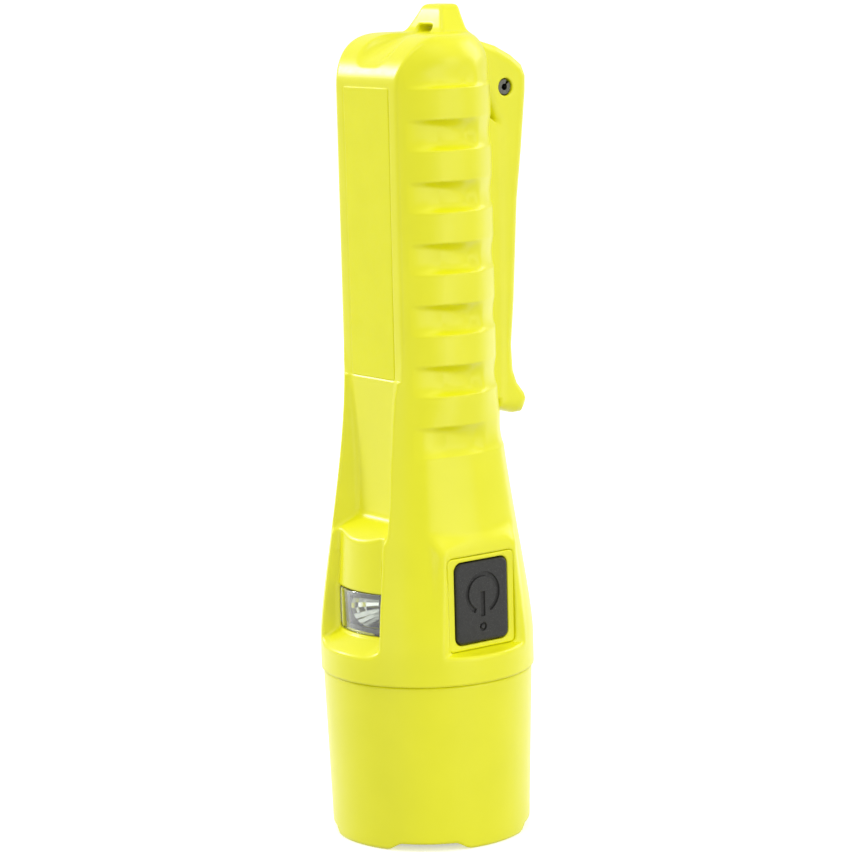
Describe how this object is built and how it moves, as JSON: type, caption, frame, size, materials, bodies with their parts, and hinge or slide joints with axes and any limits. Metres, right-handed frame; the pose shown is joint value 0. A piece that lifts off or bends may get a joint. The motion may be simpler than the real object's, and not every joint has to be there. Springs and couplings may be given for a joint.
{
  "type": "firefighter flashlight",
  "caption": "Firefighter's hand torch with a fluorescent moulded body, screw-on lens shroud, downcast lamp window, side push switch and hinged belt clip.",
  "frame": {"origin": "middle of the underside of the bounding box, on the surface that the shroud's rim stands on", "axes": "+Z along the torch from its lens end to its lanyard loop; the label rail and the downcast window face -Y, the clip is at +Y and the switch at +X"},
  "size_m": [0.049, 0.0532, 0.189],
  "materials": {
    "yellow_plastic": "fluorescent yellow moulded plastic with a fine satin texture",
    "label_film": "smooth printed name plate, left blank",
    "black_rubber": "matte black moulded rubber",
    "black_plastic": "black glass-filled nylon",
    "clear_polycarbonate": "clear polished polycarbonate",
    "mirror_coating": "vacuum metallised",
    "steel": "stainless wire and pin stock",
    "brass": "nickel-bright contact metal",
    "aluminium": "cast, clear anodised",
    "circuit_board": "green solder mask",
    "led_lamp": "silicone dome over yellow phosphor",
    "cell_jacket": "printed film over the can, left blank"
  },
  "bodies": {
    "torch_body": {"body_shell": "yellow_plastic", "label_panel": "label_film", "head_oring": "black_rubber", "switch_frame": "yellow_plastic", "switch_boot": "black_rubber", "downcast_lens": "clear_polycarbonate", "downcast_gasket": "black_rubber", "clip_pin": "steel", "clip_spring": "steel"},
    "light_engine": {"engine_housing": "black_plastic", "engine_chassis": "black_plastic", "main_reflector": "mirror_coating", "main_led_board": "circuit_board", "main_led": "led_lamp", "heat_sink": "aluminium", "driver_board": "circuit_board", "board_screw_1": "steel", "board_screw_2": "steel", "board_screw_3": "steel", "board_screw_4": "steel", "downcast_reflector": "mirror_coating", "downcast_led_board": "circuit_board", "downcast_led": "led_lamp", "downcast_lead": "black_rubber", "switch_board": "circuit_board", "tact_switch": "black_plastic", "positive_spring": "steel", "negative_spring": "steel", "battery_carrier": "black_plastic", "cell_1": "cell_jacket", "cell_2": "cell_jacket", "cell_3": "cell_jacket", "cell_spring_1": "steel", "cell_spring_2": "steel", "cell_spring_3": "steel", "cell_contact_1": "brass", "cell_contact_2": "brass", "cell_contact_3": "brass"},
    "front_shroud": {"lens_shroud": "yellow_plastic", "main_lens": "clear_polycarbonate", "lens_gasket": "black_rubber"},
    "button": {"switch_button": "black_rubber"},
    "clip": {"clip_lever": "yellow_plastic"}
  },
  "joints": [
    {"name": "engine_travel", "type": "slide", "parent": "torch_body", "child": "light_engine", "axis": [0, 0, -1], "range_m": [0, 0.0075]},
    {"name": "shroud_twist", "type": "hinge", "parent": "light_engine", "child": "front_shroud", "pos_m": [0, -0.0021, 0.02], "axis": [0, 0, -1], "range_deg": [0, 900]},
    {"name": "button_press", "type": "slide", "parent": "torch_body", "child": "button", "axis": [-1, 0, 0], "range_m": [0, 0.001], "stiffness_N_per_m": 800, "springref_m": -0.0005},
    {"name": "clip_swing", "type": "hinge", "parent": "torch_body", "child": "clip", "pos_m": [0, 0.0197, 0.1698], "axis": [1, 0, 0], "range_deg": [0, 14], "stiffness_Nm_per_rad": 0.3, "springref_deg": -14.32}
  ],
  "couplings": [
    {"joint": "shroud_twist", "follows": "engine_travel", "rad_per_m": 2094.4}
  ]
}
